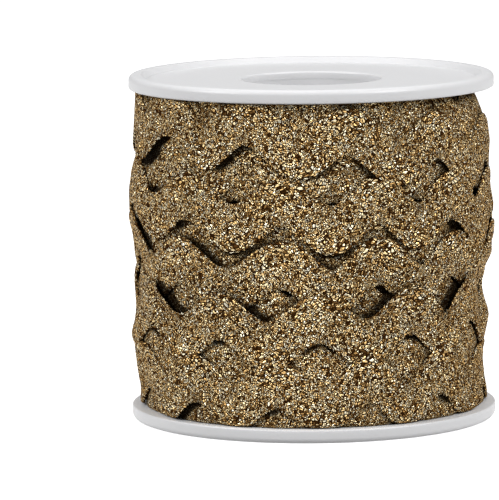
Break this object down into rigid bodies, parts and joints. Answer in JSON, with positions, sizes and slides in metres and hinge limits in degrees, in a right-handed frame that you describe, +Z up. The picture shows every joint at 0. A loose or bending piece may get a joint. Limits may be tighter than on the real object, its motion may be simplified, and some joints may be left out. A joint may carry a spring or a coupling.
{
  "type": "roll of ric rac on a flanged spool",
  "caption": "Wavy metallic ric rac braid wound in overlapping turns on a short moulded spool with two rimmed discs and an open bore.",
  "frame": {"origin": "middle of the lower disc's underside, on the axis of the bore, where the spool stands", "axes": "+Z up along the spool's axis; the picture looks along +Y, with +X to its right"},
  "size_m": [0.07, 0.07, 0.0662],
  "materials": {
    "spool": "satin white moulded polystyrene",
    "braid": "dark brown yarn braided with gold metallic film, sparkling"
  },
  "bodies": {
    "root": {"spool_disc_top": "spool", "spool_disc_bottom": "spool", "hub_tube": "spool", "ricrac_roll": "braid"}
  },
  "joints": []
}
